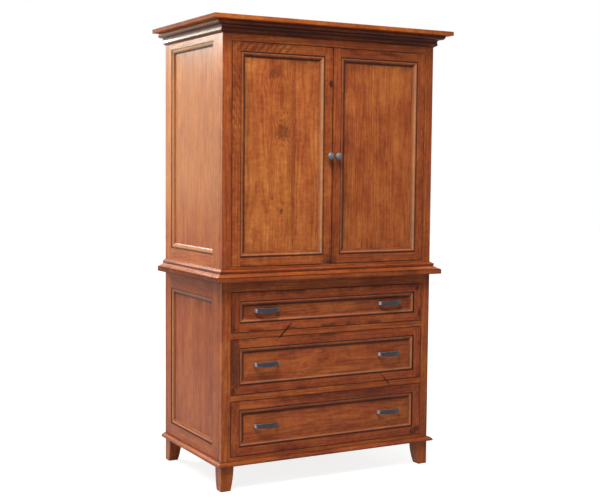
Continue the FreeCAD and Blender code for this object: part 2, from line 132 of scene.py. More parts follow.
def ease(tree, value, low, high):
    """0 below low, 1 above high, and a smooth rise between."""
    made = tree.nodes.new("ShaderNodeMapRange")
    made.interpolation_type = "SMOOTHSTEP"
    for label, given_value in (("Value", value), ("From Min", low), ("From Max", high)):
        feed(tree, made.inputs[label], given_value)
    return made.outputs[0]


def mix(tree, share, under, over):
    """Lays one colour over another."""
    made = tree.nodes.new("ShaderNodeMix")
    made.data_type = "RGBA"
    for place, value in ((0, share), (6, under), (7, over)):
        feed(tree, made.inputs[place], value)
    return made.outputs[2]


def pick(tree, share, first, second):
    """The first value where the share is 0, the second where it is 1."""
    return wire(tree, "Mix", share, None, first, second, data_type="FLOAT")


def noise(tree, place, stretch, detail=3.0, rough=0.55):
    """Cloudy texture, drawn out along the axes by the stretch, in features to the metre."""
    made = tree.nodes.new("ShaderNodeTexNoise")
    drawn_out = wire(tree, "VectorMath", place, stretch, operation="MULTIPLY")
    feed(tree, made.inputs["Vector"], drawn_out)
    for label, value in (("Scale", 1.0), ("Detail", detail), ("Roughness", rough)):
        made.inputs[label].default_value = value
    return made.outputs[0]


def ramp(tree, value, stops):
    """Colours along a value, each at its own place."""
    made = tree.nodes.new("ShaderNodeValToRGB")
    feed(tree, made.inputs[0], value)
    for place, colour in stops[1:-1]:
        made.color_ramp.elements.new(place)
    for element, (place, colour) in zip(made.color_ramp.elements, stops):
        element.position, element.color = place, colour
    return made.outputs[0]


def effect(name, inputs, outputs):
    """An empty shader group: its tree, its inputs and its outputs. An input of None is a place."""
    tree = bpy.data.node_groups.new(name, "ShaderNodeTree")
    for label, value in inputs.items():
        kind = "NodeSocketVector" if value is None else "NodeSocketFloat"
        socket = tree.interface.new_socket(label, in_out="INPUT", socket_type=kind)
        if value is not None:
            socket.default_value = value
    for label in outputs:
        kind = "NodeSocketColor" if label == "Colour" else "NodeSocketFloat"
        tree.interface.new_socket(label, in_out="OUTPUT", socket_type=kind)
    entry, exit_node = tree.nodes.new("NodeGroupInput"), tree.nodes.new("NodeGroupOutput")
    return tree, entry.outputs, exit_node.inputs


def lay(tree, group, **values):
    """Places a shader group with its own values and returns its outputs."""
    made = tree.nodes.new("ShaderNodeGroup")
    made.node_tree = group
    for label, value in values.items():
        feed(tree, made.inputs[label], value)
    return made.outputs


def off_centre(tree, given, centre):
    """How far a spot lies from a centre, level and upright."""
    return [minus(tree, given[way], given[centre + way]) for way in "UV"]


# Cherry figure: flat-sawn rings, streaks along the grain, blotches where the stain took unevenly,
# and curl. Each board of a glued-up panel has its own draw of rings and tone.
cherry_figure, given, gives = effect(
    "cherry figure",
    {"Along": 0.0, "Across": 0.0, "Depth": 0.0, "Seed": 0.0, "Board": 0.12, "Tone": 0.5,
     "Swell": 0.0, "Curl": 0.1, "Contrast": 1.0, "Red": 0.45},
    ("Colour", "Roughness", "Height"))
tree = cherry_figure
ring_turns = 620.0
slid = scaled(tree, given["Seed"], 0.043, given["Across"])
lane = calc(tree, "FLOOR", calc(tree, "DIVIDE", slid, given["Board"]))
draw = wire(tree, "TexWhiteNoise", wire(tree, "CombineXYZ", lane, given["Seed"], 0.0),
            out=1, noise_dimensions="2D")
pith_draw, slope_draw, tone_draw = wire(tree, "SeparateColor", draw).node.outputs
from_middle = minus(tree, slid, times(tree, plus(tree, lane, 0.5), given["Board"]))
pith = lean(tree, slope_draw, times(tree, given["Along"], 0.07),
            scaled(tree, pith_draw, 0.05, 0.02))
board_x = scaled(tree, given["Seed"], 0.71, scaled(tree, lane, 1.37, given["Across"]))
board_place = wire(tree, "CombineXYZ", board_x, given["Depth"], given["Along"])
radius = calc(tree, "SQRT", squares(tree, from_middle, pith))
radius = lean(tree, noise(tree, board_place, (7, 7, 2.2), 3), 0.045, radius)
radius = plus(tree, radius, given["Swell"])
late_wood = calc(tree, "POWER", wave(tree, times(tree, radius, ring_turns)), 2.2)
streak = noise(tree, board_place, (75, 75, 3.2), 5, 0.68)
grain_line = noise(tree, board_place, (170, 170, 4.5), 3, 0.6)
fibre = noise(tree, board_place, (520, 520, 14), 3, 0.6)
redness = noise(tree, board_place, (24, 24, 1.8), 4, 0.62)
blotch = noise(tree, board_place, (9, 9, 5.5), 4, 0.6)
mottle = noise(tree, board_place, (75, 75, 42), 3, 0.6)
curl = noise(tree, board_place, (24, 24, 85), 2)
swing = scaled(tree, late_wood, -0.10, 0.03)
for texture, strength in ((tone_draw, 0.07), (streak, 0.36), (blotch, 0.62), (mottle, 0.32),
                          (grain_line, 0.2), (fibre, 0.16), (curl, given["Curl"])):
    swing = lean(tree, texture, strength, swing)
tone = scaled(tree, swing, given["Contrast"], given["Tone"])
golden = ramp(tree, tone, ((0.0, stain(62, 27, 14)), (0.25, stain(112, 52, 23)),
                           (0.5, stain(158, 82, 36)), (0.75, stain(194, 118, 54)),
                           (1.0, stain(222, 158, 90))))
red = ramp(tree, tone, ((0.0, stain(52, 19, 14)), (0.25, stain(98, 38, 23)),
                        (0.5, stain(142, 61, 33)), (0.75, stain(176, 90, 49)),
                        (1.0, stain(206, 132, 82))))
feed(tree, gives["Colour"], mix(tree, lean(tree, redness, 1.6, given["Red"]), golden, red))
feed(tree, gives["Roughness"], lean(tree, streak, 0.18, 0.29))
feed(tree, gives["Height"], scaled(tree, late_wood, -0.4, fibre))

# Frame layout: where a spot lies on a frame, from the quirk round its opening and from its outer
# edge. The head and one end are the shaded sides, where shade is painted, and the other end is the
# lit end, where a highlight is painted.
frame_layout, given, gives = effect(
    "frame layout",
    {"U": 0.0, "V": 0.0, "MiddleU": 0.0, "MiddleV": 0.0, "HalfU": 1.0, "HalfV": 1.0,
     "FlatU": 0.0, "FlatV": 0.0},
    ("Stile", "Ring", "Outer", "Board", "Shelter", "Open"))
tree = frame_layout
off_u, off_v = off_centre(tree, given, "Middle")
past_u = minus(tree, size_of(tree, off_u), given["HalfU"])
past_v = minus(tree, size_of(tree, off_v), given["HalfV"])
stile = more(tree, past_u, calc(tree, "MINIMUM", past_v, 0.0))
rail_board = scaled(tree, calc(tree, "SIGN", off_v), 2.1, 5.0)
stile_board = times(tree, calc(tree, "SIGN", off_u), 1.3)
beside = more(tree, past_u, past_v)
feed(tree, gives["Stile"], stile)
feed(tree, gives["Ring"], most(tree, past_u, past_v))
feed(tree, gives["Outer"], most(tree, minus(tree, past_u, given["FlatU"]),
                                minus(tree, past_v, given["FlatV"])))
feed(tree, gives["Board"], pick(tree, stile, rail_board, stile_board))
feed(tree, gives["Shelter"], pick(tree, beside, more(tree, off_v, 0.0),
                                  calc(tree, "LESS_THAN", off_u, 0.0)))
feed(tree, gives["Open"], times(tree, beside, more(tree, off_u, 0.0)))

# Glaze, painted shade and painted highlight: dark glaze stays in the quirk, most of all at the
# foot.
# Painted shade darkens the panel's corner at the head and the shaded end, and fades onto the panel
# beside the frame. The moulded edge, the sticking, is painted paler, as wear and as painted
# highlight, most of all at the lit end.
glaze_shade_and_highlight, given, gives = effect(
    "glaze, shade and highlight",
    {"Place": None, "Ring": 1.0, "Outer": -1.0, "Shelter": 0.0, "Open": 0.0, "Smudge": 0.5},
    ("GlazeAndShade", "WearAndHighlight"))
tree = glaze_shade_and_highlight
sticking_width = 0.021
quirk_reach = 0.0048
corner_reach = 0.0095
panel_fade_reach = 0.05
edge_start, edge_full = -0.0036, -0.0004
smudge_start = -0.026
ring, shaded_side, lit_end = given["Ring"], given["Shelter"], given["Open"]
uneven = noise(tree, given["Place"], (45, 45, 45), 3)
patch = noise(tree, given["Place"], (13, 13, 13), 3)
past_panel = plus(tree, ring, sticking_width)
quirk_line = times(tree, band(tree, ring, -0.0006, quirk_reach),
                   pick(tree, lit_end, pick(tree, shaded_side, 2.2, 1.2), 1.1))
# Painted shade in the panel's corner beside the sticking: strong at the head and the shaded end,
# faint glaze elsewhere.
corner_glaze_and_shade = times(tree, band(tree, past_panel, 0.003, corner_reach),
                    pick(tree, shaded_side, 0.4, 1.35))
# Painted shade fading onto the panel beside the frame: full at the shaded sides, and set by the
# smudge input at the foot and lit end.
panel_share = times(tree, ease(tree, patch, 0.3, 0.75),
                    pick(tree, shaded_side, times(tree, given["Smudge"], 0.6), 0.6))
panel_edge_glaze_and_shade = times(tree, band(tree, past_panel, 0.0, panel_fade_reach), panel_share)
panel_edge_glaze_and_shade = times(tree, panel_edge_glaze_and_shade, calc(tree, "LESS_THAN", past_panel, 0.0))
edge_line = times(tree, ease(tree, given["Outer"], edge_start, edge_full), 0.9)
smudge = times(tree, ease(tree, given["Outer"], smudge_start, 0.0), ease(tree, patch, 0.46, 0.68))
smudge = times(tree, smudge, given["Smudge"])
lines = most(tree, most(tree, quirk_line, corner_glaze_and_shade), edge_line)
lines = times(tree, lines, scaled(tree, uneven, 0.8, 0.5), clamp=True)
# Wear and painted highlight on the sticking: narrow at the head and shaded end, wider at the foot,
# widest at the lit end.
foot_wear_and_highlight = times(tree, band(tree, ring, -0.0088, 0.0058), 0.65)
head_wear_and_highlight = times(tree, band(tree, ring, -0.0042, 0.0030), 0.6)
lit_end_highlight = times(tree, band(tree, ring, -0.0105, 0.0125), 0.95)
rubbed = pick(tree, lit_end, pick(tree, shaded_side, foot_wear_and_highlight, head_wear_and_highlight), lit_end_highlight)
feed(tree, gives["GlazeAndShade"], most(tree, lines, most(tree, panel_edge_glaze_and_shade, smudge)))
feed(tree, gives["WearAndHighlight"], times(tree, rubbed, scaled(tree, uneven, 1.0, 0.35), clamp=True))

# Knots and gum streaks: a dark heart of ragged outline, and a swell that bends the rings round it.
knot_mark, given, gives = effect(
    "knot mark",
    {"U": 0.0, "V": 0.0, "CentreU": 0.0, "CentreV": 0.0, "HalfU": 0.01, "HalfV": 0.01,
     "Turn": 0.0},
    ("Heart", "Swell"))
tree = knot_mark
off_u, off_v = off_centre(tree, given, "Centre")
cosine, sine = calc(tree, "COSINE", given["Turn"]), calc(tree, "SINE", given["Turn"])
lengthwise = plus(tree, times(tree, off_u, cosine), times(tree, off_v, sine))
widthwise = minus(tree, times(tree, off_v, cosine), times(tree, off_u, sine))
spread = squares(tree, calc(tree, "DIVIDE", lengthwise, given["HalfU"]),
                 calc(tree, "DIVIDE", widthwise, given["HalfV"]))
ragged = noise(tree, wire(tree, "CombineXYZ", given["U"], given["V"], 0.0), (130, 130, 130), 4)
feed(tree, gives["Heart"], ease(tree, lean(tree, ragged, 3.2, spread), 1.5, 0.1))
feed(tree, gives["Swell"], calc(tree, "POWER", 2.718, times(tree, spread, -0.3)))

# Flame: dark ripples across the grain, close together, that fade out towards the edges of their
# patch.
flame_mark, given, gives = effect(
    "flame mark",
    {"U": 0.0, "V": 0.0, "CentreU": 0.0, "CentreV": 0.0, "HalfU": 0.1, "HalfV": 0.02,
     "Turn": 0.0, "Spacing": 0.015},
    ("Dark",))
tree = flame_mark
off_u, off_v = off_centre(tree, given, "Centre")
reach = most(tree, calc(tree, "DIVIDE", size_of(tree, off_u), given["HalfU"]),
             calc(tree, "DIVIDE", size_of(tree, off_v), given["HalfV"]))
run_on = plus(tree, times(tree, off_u, calc(tree, "COSINE", given["Turn"])),
              times(tree, off_v, calc(tree, "SINE", given["Turn"])))
waver = noise(tree, wire(tree, "CombineXYZ", given["U"], given["V"], 0.0), (26, 26, 26), 2)
ripple = plus(tree, calc(tree, "DIVIDE", times(tree, run_on, 2 * math.pi), given["Spacing"]),
              times(tree, waver, 7.0))
feed(tree, gives["Dark"], times(tree, wave(tree, ripple), ease(tree, reach, 1.0, 0.55)))

# Glaze colour, also the colour of the painted shade; worn colour, also the colour of the painted
# highlight on the sticking.
glaze_and_shade_colour = stain(46, 19, 13)
worn_and_highlight_colour = stain(226, 172, 124)
heart_colour = stain(62, 24, 15)


def new_material(name):
    """A material with an empty tree, and the spot's place on the piece."""
    material = bpy.data.materials.new(name)
    material.use_nodes = True
    tree = material.node_tree
    tree.nodes.clear()
    place = wire(tree, "TexCoord", out=3)
    return material, tree, place, wire(tree, "SeparateXYZ", place).node.outputs


def surface(tree, colour, roughness, height=None, depth=0.0002, metallic=0.0, **constants):
    """Ends a tree in one shader, with a bump of the given depth."""
    shader = tree.nodes.new("ShaderNodeBsdfPrincipled")
    for label, value in (("Base Color", colour), ("Roughness", roughness), ("Metallic", metallic)):
        feed(tree, shader.inputs[label], value)
    for label, value in constants.items():
        shader.inputs[label.replace("_", " ")].default_value = value
    if height is not None:
        bump = tree.nodes.new("ShaderNodeBump")
        feed(tree, bump.inputs["Height"], height)
        bump.inputs["Strength"].default_value = 0.5
        bump.inputs["Distance"].default_value = depth
        feed(tree, shader.inputs["Normal"], bump.outputs[0])
    end = tree.nodes.new("ShaderNodeOutputMaterial")
    feed(tree, end.inputs["Surface"], shader.outputs[0])


def cherry(name, grain, axis="x", middle=(0.0, 0.0), half=None, flat=(0.0, 0.0), seed=0.0,
           tone=0.5, board=0.12, curl=0.1, marks=(), flames=(), lines=(), mitre=None, gloss=0.12,
           dull=0.0, contrast=1.0, smudge=0.5, rubbed=1.0, red_share=0.45):
    """Stained, glazed and lacquered cherry, with painted shade and a painted highlight round the
    opening of a frame. Grain is framed, upright, level, wide with end grain that took more stain,
    or mitred round a corner. Middle and half give the opening of a frame, flat the width of its
    members outside the quirk, and lines the height and reach of dark bands along a moulding, glaze
    that on the crown is also painted shade. The smudge argument also sets the painted shade at the
    panel's foot and lit end, and rubbed how far the lit end takes its wide painted highlight."""
    material, tree, place, (x, y, z) = new_material(name)
    u, depth = (x, y) if axis == "x" else (y, x)
    glaze_and_shade = wear_and_highlight = heart = end_grain = None
    seeds, swell = seed, 0.0
    if half:
        spot = lay(tree, frame_layout, U=u, V=z, MiddleU=middle[0], MiddleV=middle[1],
                   HalfU=half[0], HalfV=half[1], FlatU=flat[0], FlatV=flat[1])
    if half and half[1]:
        outer = spot["Outer"] if grain == "framed" else -1.0
        # The coat paints shade at the shaded sides and a highlight at the lit end; rubbed scales
        # the lit end's share.
        coat = lay(tree, glaze_shade_and_highlight, Place=place, Ring=spot["Ring"], Outer=outer,
                   Shelter=spot["Shelter"], Open=times(tree, spot["Open"], rubbed), Smudge=smudge)
        glaze_and_shade, wear_and_highlight = coat["GlazeAndShade"], coat["WearAndHighlight"]
    if grain == "framed":
        stile, seeds = spot["Stile"], plus(tree, spot["Board"], seed)
        along, across = pick(tree, stile, u, z), pick(tree, stile, z, u)
    elif grain == "mitred":
        front, half_width = mitre
        out_side = minus(tree, size_of(tree, x), half_width)
        beside = more(tree, out_side, minus(tree, front, y))
        along, across, depth = pick(tree, beside, x, y), z, pick(tree, beside, y, x)
        seeds = scaled(tree, beside, 3.3, seed)
    else:
        along, across, depth = {"upright": (z, u, depth), "level": (u, z, depth),
                                "wide": (x, y, z)}[grain]
    for mark_u, mark_v, half_length, half_breadth, angle, dark, bend in marks:
        knot = lay(tree, knot_mark, U=u, V=z, CentreU=mark_u, CentreV=mark_v, HalfU=half_length,
                   HalfV=half_breadth, Turn=math.radians(angle))
        heart = most(tree, heart, times(tree, knot["Heart"], dark))
        if bend:
            swell = scaled(tree, knot["Swell"], bend, swell)
    for flame_u, flame_v, half_length, half_breadth, angle, spacing, dark in flames:
        ripples = lay(tree, flame_mark, U=u, V=z, CentreU=flame_u, CentreV=flame_v,
                      HalfU=half_length, HalfV=half_breadth, Turn=math.radians(angle),
                      Spacing=spacing)
        heart = most(tree, heart, times(tree, ripples["Dark"], dark))
    if grain == "wide":
        facing = wire(tree, "SeparateXYZ", wire(tree, "TexCoord", out=1))
        end_grain = ease(tree, size_of(tree, facing), 0.5, 0.9)
        tone = scaled(tree, end_grain, -0.26, tone)
    wood = lay(tree, cherry_figure, Along=along, Across=across, Depth=depth, Seed=seeds,
               Board=board, Tone=tone, Swell=swell, Curl=curl, Contrast=contrast, Red=red_share)
    colour, rough = wood["Colour"], wood["Roughness"]
    if heart is not None:
        colour = mix(tree, heart, colour, heart_colour)
    # Wear and painted highlight on the sticking.
    if wear_and_highlight is not None:
        colour = mix(tree, times(tree, wear_and_highlight, 0.6), colour, worn_and_highlight_colour)
    for height, reach in lines:
        uneven = scaled(tree, noise(tree, place, (45, 45, 45), 3), 0.8, 0.4)
        line = times(tree, band(tree, z, height, reach), uneven, clamp=True)
        glaze_and_shade = most(tree, glaze_and_shade, line)
    # Glaze, with painted shade in the panel's corner and at its edge, and on the crown under the
    # slab.
    if glaze_and_shade is not None:
        colour = mix(tree, times(tree, glaze_and_shade, 0.9), colour, glaze_and_shade_colour)
    if end_grain is not None:
        rough = plus(tree, scaled(tree, end_grain, 0.4 - dull, rough), dull)
    surface(tree, colour, rough, wood["Height"], Specular_IOR_Level=gloss)
    return material


def finish(material, *names):
    """Gives CAD nodes a finish."""
    for name in names:
        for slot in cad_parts[name].material_slots:
            slot.material = material


side_middle_y = 0.043
side_half_y = 0.2275
side_flat = (0.07, 0.076)
whole_board = 0.3
side_board = 0.115
chest_side = ((side_middle_y, 0.4975), (side_half_y, 0.3125))
# The chest's sides take a darker tone than the upper sides'; that difference is painted shade,
# darker low on the case.
finish(cherry("chest side frame cherry", "framed", "y", *chest_side, flat=side_flat, seed=1.0,
              tone=0.49, board=whole_board, gloss=0.06, contrast=0.75),
       "chest_left_side_frame", "chest_right_side_frame")
finish(cherry("chest side panel cherry", "upright", "y", *chest_side, seed=2.0, tone=0.51,
              board=side_board, gloss=0.06, contrast=0.65), "chest_side_panels")

# Chest face frame: two cherry stiles with four rails tenoned between them, glued to the front of
# the sides. Two gum streaks run across its middle rails, from one drawer front to the next.


def mark(x, z, half_length, half_breadth, turn=0, dark=0.8, bend=0.0):
    """A knot, gum streak or stain: its place, its half sizes, its turn in degrees, how dark it is,
    and how far the rings bend round it."""
    return x, z, half_length, half_breadth, turn, dark, bend


stile_edge = 0.4835
gum_streak_left = mark(-0.226, 0.666, 0.054, 0.0055, turn=46, dark=0.95)
gum_streak_right = mark(0.295, 0.4085, 0.046, 0.004, turn=-47, dark=0.9)
finish(cherry("chest face frame cherry", "framed", "x", (0.0, 0.5), (stile_edge, 0.0), seed=3.0,
              tone=0.48, board=whole_board, marks=(gum_streak_left, gum_streak_right)),
       "chest_face_frame")

# Chest floor, backs, slide packers and drawer bottoms: birch plywood, grooved or screwed in. It is
# pale under a thin clear coat inside the case, and the two backs are stained brown.
veneer_figure, given, gives = effect(
    "veneer figure", {"Place": None, "Stretch": None}, ("Tone", "Figure"))
tree = veneer_figure
pore_stretch = wire(tree, "VectorMath", given["Stretch"], (6, 6, 6), operation="MULTIPLY")
figure = noise(tree, given["Place"], given["Stretch"], 5, 0.5)
cloud = noise(tree, given["Place"], (4, 4, 4), 3)
pore = noise(tree, given["Place"], pore_stretch, 3, 0.6)
feed(tree, gives["Tone"], lean(tree, cloud, 0.7, lean(tree, figure, 0.75,
                                                      lean(tree, pore, 0.6, 0.5))))
feed(tree, gives["Figure"], figure)


def plywood(name, stretch, pale, dark):
    """Veneer with its figure along the axis of the least stretch."""
    material, tree, place, _ = new_material(name)
    veneer = lay(tree, veneer_figure, Place=place, Stretch=stretch)
    palest = tuple(min(1.0, part * 1.12) for part in pale)
    colour = ramp(tree, veneer["Tone"], ((0.1, dark), (0.55, pale), (0.95, palest)))
    surface(tree, colour, lean(tree, veneer["Figure"], 0.2, 0.55), veneer["Figure"], 0.0003,
            Specular_IOR_Level=0.35)
    return material


finish(plywood("birch plywood, wide", (2, 60, 60), stain(206, 172, 128), stain(170, 130, 88)),
       "chest_floor", "slide_packers", "upper_top_board",
       "bottom_drawer_bottom", "middle_drawer_bottom", "top_drawer_bottom")
finish(plywood("stained back plywood", (60, 60, 2), stain(150, 96, 58), stain(126, 78, 46)),
       "chest_back", "upper_back")

# Chest top: a cherry slab with a stepped and hollowed edge, glued up from boards that run across
# the front, and screwed down on the chest. Glaze lies in the step.
finish(cherry("chest top cherry", "wide", seed=4.0, tone=0.49, board=0.14,
              lines=((0.9065, 0.004), (0.886, 0.007), (0.921, 0.003))), "chest_top")

# Base moulding: a rounded cherry strip round the front and sides of the chest, mitred at the
# corners and pinned on. One pin is set deep, in a dark filled hole.
front_y = -0.2755
case_half_width = 0.525
around_case = (front_y, case_half_width)
pin_hole = mark(-0.003, 0.114, 0.009, 0.005, turn=10, dark=0.9)
finish(cherry("base moulding cherry", "mitred", seed=5.0, tone=0.44, board=whole_board,
              mitre=around_case, lines=((0.1275, 0.003), (0.109, 0.003)), marks=(pin_hole,)),
       "base_moulding")

# Feet: four square cherry feet, tapered on their two inner faces, and screwed up into the chest's
# floor. Glaze lies under the moulding and at the very foot.
finish(cherry("foot cherry", "upright", seed=6.0, tone=0.5, board=whole_board,
              lines=((0.109, 0.004), (0.0, 0.003))), "feet")

# Upper sides: frames and panels made as the chest's are, but taller, with the same moulded edge
# and one tall panel of glued-up boards.
upper_side = ((side_middle_y, 1.442), (side_half_y, 0.445))
# The upper sides take a lighter tone than the chest's; that difference is painted light, lighter
# high on the case.
finish(cherry("upper side frame cherry", "framed", "y", *upper_side, flat=side_flat, seed=7.0,
              tone=0.61, board=whole_board, gloss=0.1, contrast=0.7),
       "upper_left_side_frame", "upper_right_side_frame")
finish(cherry("upper side panel cherry", "upright", "y", *upper_side, seed=8.0, tone=0.61,
              board=side_board, gloss=0.1, contrast=0.6), "upper_side_panels")

# Upper face frame: two cherry stiles and two rails round the doors, tenoned together and glued to
# the front of the sides.
door_z = 1.415
finish(cherry("upper face frame cherry", "framed", "x", (0.0, door_z), (stile_edge, 0.0),
              seed=9.0, tone=0.52, board=whole_board), "upper_face_frame")

# Deck and shelf: cherry boards inside the upper case, glued up from strips, with an eased front
# edge. The deck is fixed, and the shelf lies on four pins.
finish(cherry("deck and shelf cherry", "wide", seed=10.0, tone=0.55, board=0.1),
       "upper_deck", "shelf")

# Crown moulding: an ovolo over a cove and a bead, run in cherry and mitred round the front and
# sides. It is toned dark and banded darker in its hollows, as glaze and as painted shade under the
# top slab.
finish(cherry("crown cherry", "mitred", seed=11.0, tone=0.28, board=whole_board,
              mitre=around_case,
              lines=((1.957, 0.003), (1.9445, 0.006), (1.934, 0.010), (1.918, 0.004),
                     (1.912, 0.005))), "crown_moulding")

# Top slab: one flat cherry top with lightly eased edges, glued up from boards that run across the
# front, and rubbed down duller than the rest.
finish(cherry("top slab cherry", "wide", seed=12.0, tone=0.6, board=0.13, gloss=0.06, dull=0.3),
       "top_slab")

# Waist trim: a small lipped cherry moulding, mitred and pinned round the foot of the upper case,
# that hides its joint with the chest.
finish(cherry("waist trim cherry", "mitred", seed=13.0, tone=0.46, board=whole_board,
              mitre=around_case, lines=((0.921, 0.0055), (0.9405, 0.0055))), "waist_trim")

# Doors: stiles and rails of cherry with a moulded inner edge, coped at the corners, round a flat
# panel glued up from three or four boards. The left panel has a swirl of figure, the left frame
# ripples of flame, and a knot shows on the meeting stile.


def flame(x, z, half_length, half_breadth, turn, spacing, dark):
    """A patch of ripples: its place, its half sizes, their turn in degrees, how far apart they
    are, and how dark."""
    return x, z, half_length, half_breadth, turn, spacing, dark


door_middle = 0.24125
door_half = (0.19925, 0.426)
door_flat = (0.041, 0.040)
left_door = ((-door_middle, door_z), door_half)
right_door = ((door_middle, door_z), door_half)
finish(cherry("left door frame cherry", "framed", "x", *left_door, flat=door_flat, seed=14.0,
              tone=0.53, board=whole_board, curl=0.3,
              flames=(flame(-0.335, 1.861, 0.19, 0.024, turn=-40, spacing=0.025, dark=0.55),
                      flame(-0.461, 1.64, 0.024, 0.2, turn=28, spacing=0.02, dark=0.35)),
              marks=(mark(-0.011, 1.725, 0.010, 0.017, dark=1.0, bend=0.012),
                     mark(-0.014, 0.966, 0.034, 0.034, dark=0.55),
                     mark(-0.008, 0.955, 0.022, 0.012, dark=0.85),
                     mark(-0.053, 1.037, 0.006, 0.02, dark=0.6))), "left_door_frame")
finish(cherry("right door frame cherry", "framed", "x", *right_door, flat=door_flat, seed=16.0,
              tone=0.48, board=whole_board,
              marks=(mark(0.006, 0.962, 0.026, 0.026, dark=0.55),
                     mark(0.286, 1.866, 0.05, 0.006, dark=0.7))), "right_door_frame")
finish(cherry("left door panel cherry", "upright", "x", *left_door, seed=18.0, tone=0.63,
              board=0.118, curl=0.25,
              marks=(mark(-0.274, 1.763, 0.042, 0.024, turn=35, dark=0.4, bend=0.015),
                     mark(-0.235, 1.514, 0.032, 0.036, turn=15, dark=0.5, bend=0.03),
                     mark(-0.187, 1.42, 0.012, 0.43, dark=0.28),
                     mark(-0.287, 1.234, 0.006, 0.009, dark=0.6, bend=0.01),
                     mark(-0.243, 1.178, 0.008, 0.013, dark=0.6, bend=0.012))),
       "left_door_panel")
finish(cherry("right door panel cherry", "upright", "x", *right_door, seed=20.0, tone=0.58,
              board=0.098,
              marks=(mark(0.359, 1.658, 0.004, 0.008, dark=0.35, bend=0.006),
                     mark(0.38, 1.473, 0.004, 0.01, dark=0.35, bend=0.006),
                     mark(0.285, 1.386, 0.004, 0.009, dark=0.35, bend=0.006))),
       "right_door_panel")

# Knobs: mushroom knobs cast and turned in pewter, left dull by their patina. Each is held by a
# zinc-plated machine screw through the meeting stile.


def pewter_finish(name, bright, dull, low_rough, high_rough, metal=1.0, ends=None):
    """Cast metal, dull in the hollows, with fine pits and rubbed high spots, and metallic as far
    as its patina lets it be. A piece with ends is lacquered dark and bared to pale metal at the
    ends and along its upper edge, as wear and as painted highlight."""
    material, tree, place, (x, _, _) = new_material(name)
    cloud = noise(tree, place, (130, 130, 130), 4, 0.6)
    pits = noise(tree, place, (900, 900, 900), 3, 0.6)
    hollow = tree.nodes.new("ShaderNodeAmbientOcclusion")
    hollow.only_local = True
    hollow.samples = 8
    hollow.inputs["Distance"].default_value = 0.006
    rubbed = times(tree, hollow.outputs["AO"], lean(tree, cloud, 1.2, 0.75), clamp=True)
    colour = mix(tree, rubbed, dull, bright)
    if ends:
        middle, start, stop, pale = ends
        along = size_of(tree, minus(tree, size_of(tree, x), middle))
        # Wear and painted highlight: pale bare metal towards the ends and on the faces that look
        # up.
        facing_up = wire(tree, "SeparateXYZ", wire(tree, "TexCoord", out=1), out=2)
        upper_edge_wear_and_highlight = times(tree, ease(tree, facing_up, 0.15, 0.8), 0.4)
        metal = times(tree, most(tree, ease(tree, along, start, stop), upper_edge_wear_and_highlight), rubbed)
        colour = mix(tree, metal, colour, pale)
    rough = pick(tree, rubbed, high_rough, low_rough)
    surface(tree, colour, rough, pits, 0.0001, metallic=metal, Specular_IOR_Level=0.3)
    return material


def zinc_finish(name):
    """Zinc-plated steel: a faint bluish spangle, rubbed along its length."""
    material, tree, place, _ = new_material(name)
    spangle = noise(tree, place, (210, 210, 210), 3, 0.6)
    rub = noise(tree, place, (900, 30, 900), 3, 0.6)
    colour = ramp(tree, lean(tree, spangle, 0.9, lean(tree, rub, 0.5, 0.5)),
                  ((0.2, stain(138, 141, 146)), (0.8, stain(196, 198, 200))))
    surface(tree, colour, lean(tree, rub, 0.3, 0.34), rub, 0.00005, metallic=1.0)
    return material


def deselect():
    """Nothing selected, in object mode."""
    if bpy.context.object and bpy.context.object.mode != "OBJECT":
        bpy.ops.object.mode_set(mode="OBJECT")
    bpy.ops.object.select_all(action="DESELECT")


def select_only(piece):
    deselect()
    piece.select_set(True)
    bpy.context.view_layer.objects.active = piece


def apply_place():
    """The new piece's place and size go into its mesh."""
    bpy.ops.object.transform_apply(location=True, rotation=True, scale=True)


smooth_angle = math.radians(35)


def close_mesh():
    """Doubles merged, faces turned outwards, and smooth shading up to an angle."""
    bpy.ops.object.mode_set(mode="EDIT")
    bpy.ops.mesh.select_all(action="SELECT")
    bpy.ops.mesh.remove_doubles(threshold=0.00001)
    bpy.ops.mesh.normals_make_consistent(inside=False)
    bpy.ops.object.mode_set(mode="OBJECT")
    bpy.ops.object.shade_smooth_by_angle(angle=smooth_angle)


def turn_up(name, x, y, z, stations, way):
    """A turned piece: a disc drawn out along y in steps, each with its own distance and radius,
    and closed at the tip."""
    deselect()
    bpy.ops.mesh.primitive_circle_add(vertices=48, radius=stations[0][1], fill_type="NGON",
                                      location=(x, y, z), rotation=(math.radians(90), 0, 0))
    piece = bpy.context.object
    piece.name = name
    apply_place()
    bpy.ops.object.mode_set(mode="EDIT")
    bpy.ops.mesh.select_all(action="SELECT")
    for (out, radius), (next_out, next_radius) in zip(stations, stations[1:]):
        step = (0, way * (next_out - out), 0)
        bpy.ops.mesh.extrude_region_move(TRANSFORM_OT_translate={"value": step})
        scale = next_radius / radius
        bpy.ops.transform.resize(value=(scale, 1, scale),
                                 center_override=(x, y + way * next_out, z))
    bpy.ops.mesh.merge(type="CENTER")
    close_mesh()
    return piece


screw_radius = 0.0020
screw_point = 0.0018
screw_chamfer = 0.0006
head_height = 0.0026
head_profile = [(0.0, screw_radius), (0.0, 0.0040), (0.0003, 0.0042), (0.0010, 0.0041),
                (0.0018, 0.0036), (0.0023, 0.0028), (head_height, 0.0016), (head_height, 0.0004)]
recess_long, recess_wide = 0.0044, 0.0011


